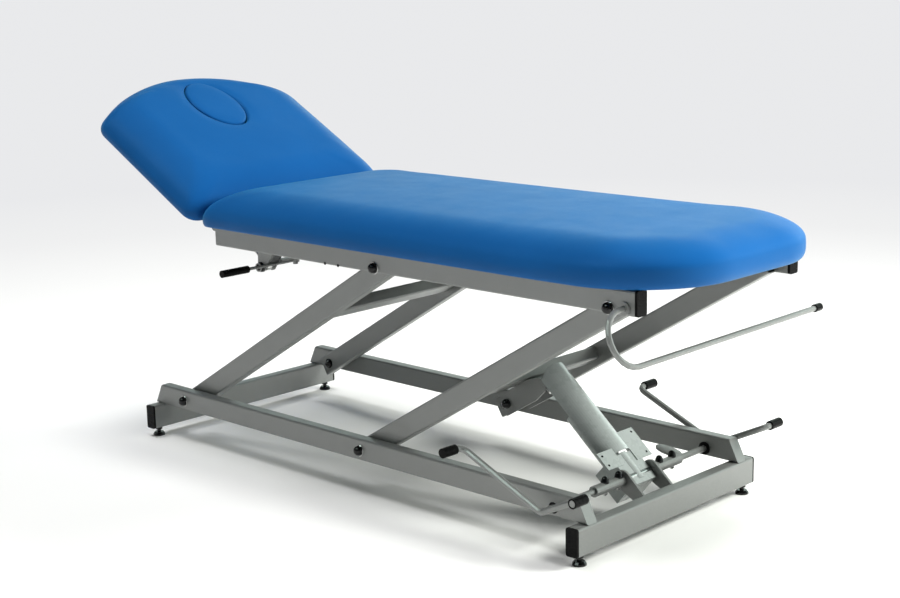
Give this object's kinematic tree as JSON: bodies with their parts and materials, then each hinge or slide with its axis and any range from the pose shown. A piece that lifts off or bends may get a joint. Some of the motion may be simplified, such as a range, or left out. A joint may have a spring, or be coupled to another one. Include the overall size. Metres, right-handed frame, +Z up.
{
  "type": "hydraulic massage table",
  "caption": "Blue upholstered treatment couch on a parallel-arm lifting frame with a foot-pumped hydraulic jack, a tilting head section and a face-hole plug.",
  "frame": {"origin": "on the floor under the middle of the table's outline", "axes": "+X toward the foot end, +Y toward the far long side, +Z up"},
  "size_m": [1.8692, 0.72, 0.8817],
  "materials": {
    "silver_powder_coat": "satin",
    "jack_gloss_grey": "gloss",
    "polished_steel": "polished",
    "black_steel": "gloss",
    "black_bolt": "gloss",
    "black_plastic": "gloss",
    "blue_vinyl": "satin"
  },
  "bodies": {
    "base": {"base_rail_right": "silver_powder_coat", "base_rail_left": "silver_powder_coat", "base_cross_tube_head": "silver_powder_coat", "base_cross_tube_foot": "silver_powder_coat", "base_end_plug_head_right": "black_plastic", "base_end_plug_head_left": "black_plastic", "base_end_plug_foot_right": "black_plastic", "base_end_plug_foot_left": "black_plastic", "jack_bracket": "silver_powder_coat", "shaft_bush_right": "black_plastic", "shaft_bush_left": "black_plastic", "pivot_bolt_lower_head_right": "black_bolt", "pivot_bolt_lower_head_left": "black_bolt", "pivot_bolt_lower_foot_right": "black_bolt", "pivot_bolt_lower_foot_left": "black_bolt"},
    "foot_arms": {"foot_arm_right": "silver_powder_coat", "foot_arm_left": "silver_powder_coat", "foot_arm_cross_tube": "silver_powder_coat", "jack_yoke": "silver_powder_coat", "yoke_tie_bolt": "black_bolt"},
    "head_arms": {"head_arm_right": "silver_powder_coat", "head_arm_left": "silver_powder_coat", "head_arm_cross_tube": "silver_powder_coat"},
    "upper_frame": {"upper_rail_right": "silver_powder_coat", "upper_rail_left": "silver_powder_coat", "upper_cross_tube_head": "silver_powder_coat", "upper_cross_tube_foot": "silver_powder_coat", "upper_end_plug_right": "black_plastic", "upper_end_plug_left": "black_plastic", "body_cushion": "blue_vinyl", "roll_holder": "silver_powder_coat", "roll_holder_tip": "black_plastic", "strut_hanger": "silver_powder_coat", "pivot_bolt_upper_head_right": "black_bolt", "pivot_bolt_upper_head_left": "black_bolt", "pivot_bolt_upper_foot_right": "black_bolt", "pivot_bolt_upper_foot_left": "black_bolt"},
    "head_section": {"head_frame": "silver_powder_coat", "head_cushion": "blue_vinyl"},
    "face_plug": {"face_plug": "blue_vinyl"},
    "strut_rod": {"strut_rod": "polished_steel"},
    "strut_tube": {"strut_tube": "black_steel"},
    "release_lever": {"release_lever": "silver_powder_coat", "release_grip": "black_plastic"},
    "jack": {"pump_body": "jack_gloss_grey", "jack_cover": "jack_gloss_grey"},
    "ram": {"jack_ram": "polished_steel"},
    "pedals": {"pump_shaft": "polished_steel", "shaft_coupling_right": "silver_powder_coat", "shaft_coupling_left": "silver_powder_coat", "pedal_right": "silver_powder_coat", "pedal_left": "silver_powder_coat", "pedal_grip_head_right": "black_plastic", "pedal_grip_head_left": "black_plastic", "pedal_grip_foot_right": "black_plastic", "pedal_grip_foot_left": "black_plastic"},
    "levelling_foot_head_right": {"levelling_foot_head_right": "black_bolt"},
    "levelling_foot_head_left": {"levelling_foot_head_left": "black_bolt"},
    "levelling_foot_foot_right": {"levelling_foot_foot_right": "black_bolt"},
    "levelling_foot_foot_left": {"levelling_foot_foot_left": "black_bolt"}
  },
  "joints": [
    {"name": "lift", "type": "hinge", "parent": "base", "child": "foot_arms", "pos_m": [0.05751, 0.014, 0.1055], "axis": [0, -1, 0], "range_deg": [-9, 12]},
    {"name": "head_arm_swing", "type": "hinge", "parent": "base", "child": "head_arms", "pos_m": [-0.58949, 0.014, 0.1055], "axis": [0, -1, 0], "range_deg": [-9.5, 12.5]},
    {"name": "upper_level", "type": "hinge", "parent": "foot_arms", "child": "upper_frame", "pos_m": [0.77157, 0.014, 0.53252], "axis": [0, -1, 0], "range_deg": [-12.5, 9.5]},
    {"name": "jack_tilt", "type": "hinge", "parent": "base", "child": "jack", "pos_m": [0.62951, 0.014, 0.1], "axis": [0, -1, 0], "range_deg": [-6, 4.5]},
    {"name": "ram_slide", "type": "slide", "parent": "jack", "child": "ram", "axis": [-0.7582, 0, 0.652], "range_m": [-0.0525, 0.0693]},
    {"name": "pedal_rock", "type": "hinge", "parent": "base", "child": "pedals", "pos_m": [0.62951, 0.014, 0.1], "axis": [0, 1, 0], "range_deg": [-12, 12], "stiffness_Nm_per_rad": 60},
    {"name": "head_tilt", "type": "hinge", "parent": "upper_frame", "child": "head_section", "pos_m": [-0.46643, 0.014, 0.56042], "axis": [0, 1, 0], "range_deg": [-48, 5]},
    {"name": "strut_swing", "type": "hinge", "parent": "upper_frame", "child": "strut_rod", "pos_m": [-0.39743, -0.131, 0.45552], "axis": [0, 1, 0], "range_deg": [-25, 3]},
    {"name": "strut_extend", "type": "slide", "parent": "strut_rod", "child": "strut_tube", "axis": [-0.7814, 0, 0.624], "range_m": [-0.0499, 0.0056]},
    {"name": "release_pull", "type": "hinge", "parent": "upper_frame", "child": "release_lever", "pos_m": [-0.36843, -0.064, 0.46332], "axis": [0, 0, 1], "range_deg": [0, 12], "stiffness_Nm_per_rad": 6},
    {"name": "plug_lift", "type": "slide", "parent": "head_section", "child": "face_plug", "axis": [0.4818, 0, 0.8763], "range_m": [0, 0.12]},
    {"name": "levelling_foot_head_right_screw", "type": "slide", "parent": "base", "child": "levelling_foot_head_right", "axis": [0, 0, -1], "range_m": [0, 0.01]},
    {"name": "levelling_foot_head_left_screw", "type": "slide", "parent": "base", "child": "levelling_foot_head_left", "axis": [0, 0, -1], "range_m": [0, 0.01]},
    {"name": "levelling_foot_foot_right_screw", "type": "slide", "parent": "base", "child": "levelling_foot_foot_right", "axis": [0, 0, -1], "range_m": [0, 0.01]},
    {"name": "levelling_foot_foot_left_screw", "type": "slide", "parent": "base", "child": "levelling_foot_foot_left", "axis": [0, 0, -1], "range_m": [0, 0.01]}
  ],
  "couplings": [
    {"joint": "head_arm_swing", "follows": "lift", "ratio": 1},
    {"joint": "upper_level", "follows": "lift", "ratio": -1},
    {"joint": "jack_tilt", "follows": "lift", "ratio": -0.45},
    {"joint": "ram_slide", "follows": "lift", "m_per_rad": 0.3215},
    {"joint": "strut_swing", "follows": "head_tilt", "ratio": 0.5},
    {"joint": "strut_extend", "follows": "head_tilt", "m_per_rad": 0.059}
  ]
}
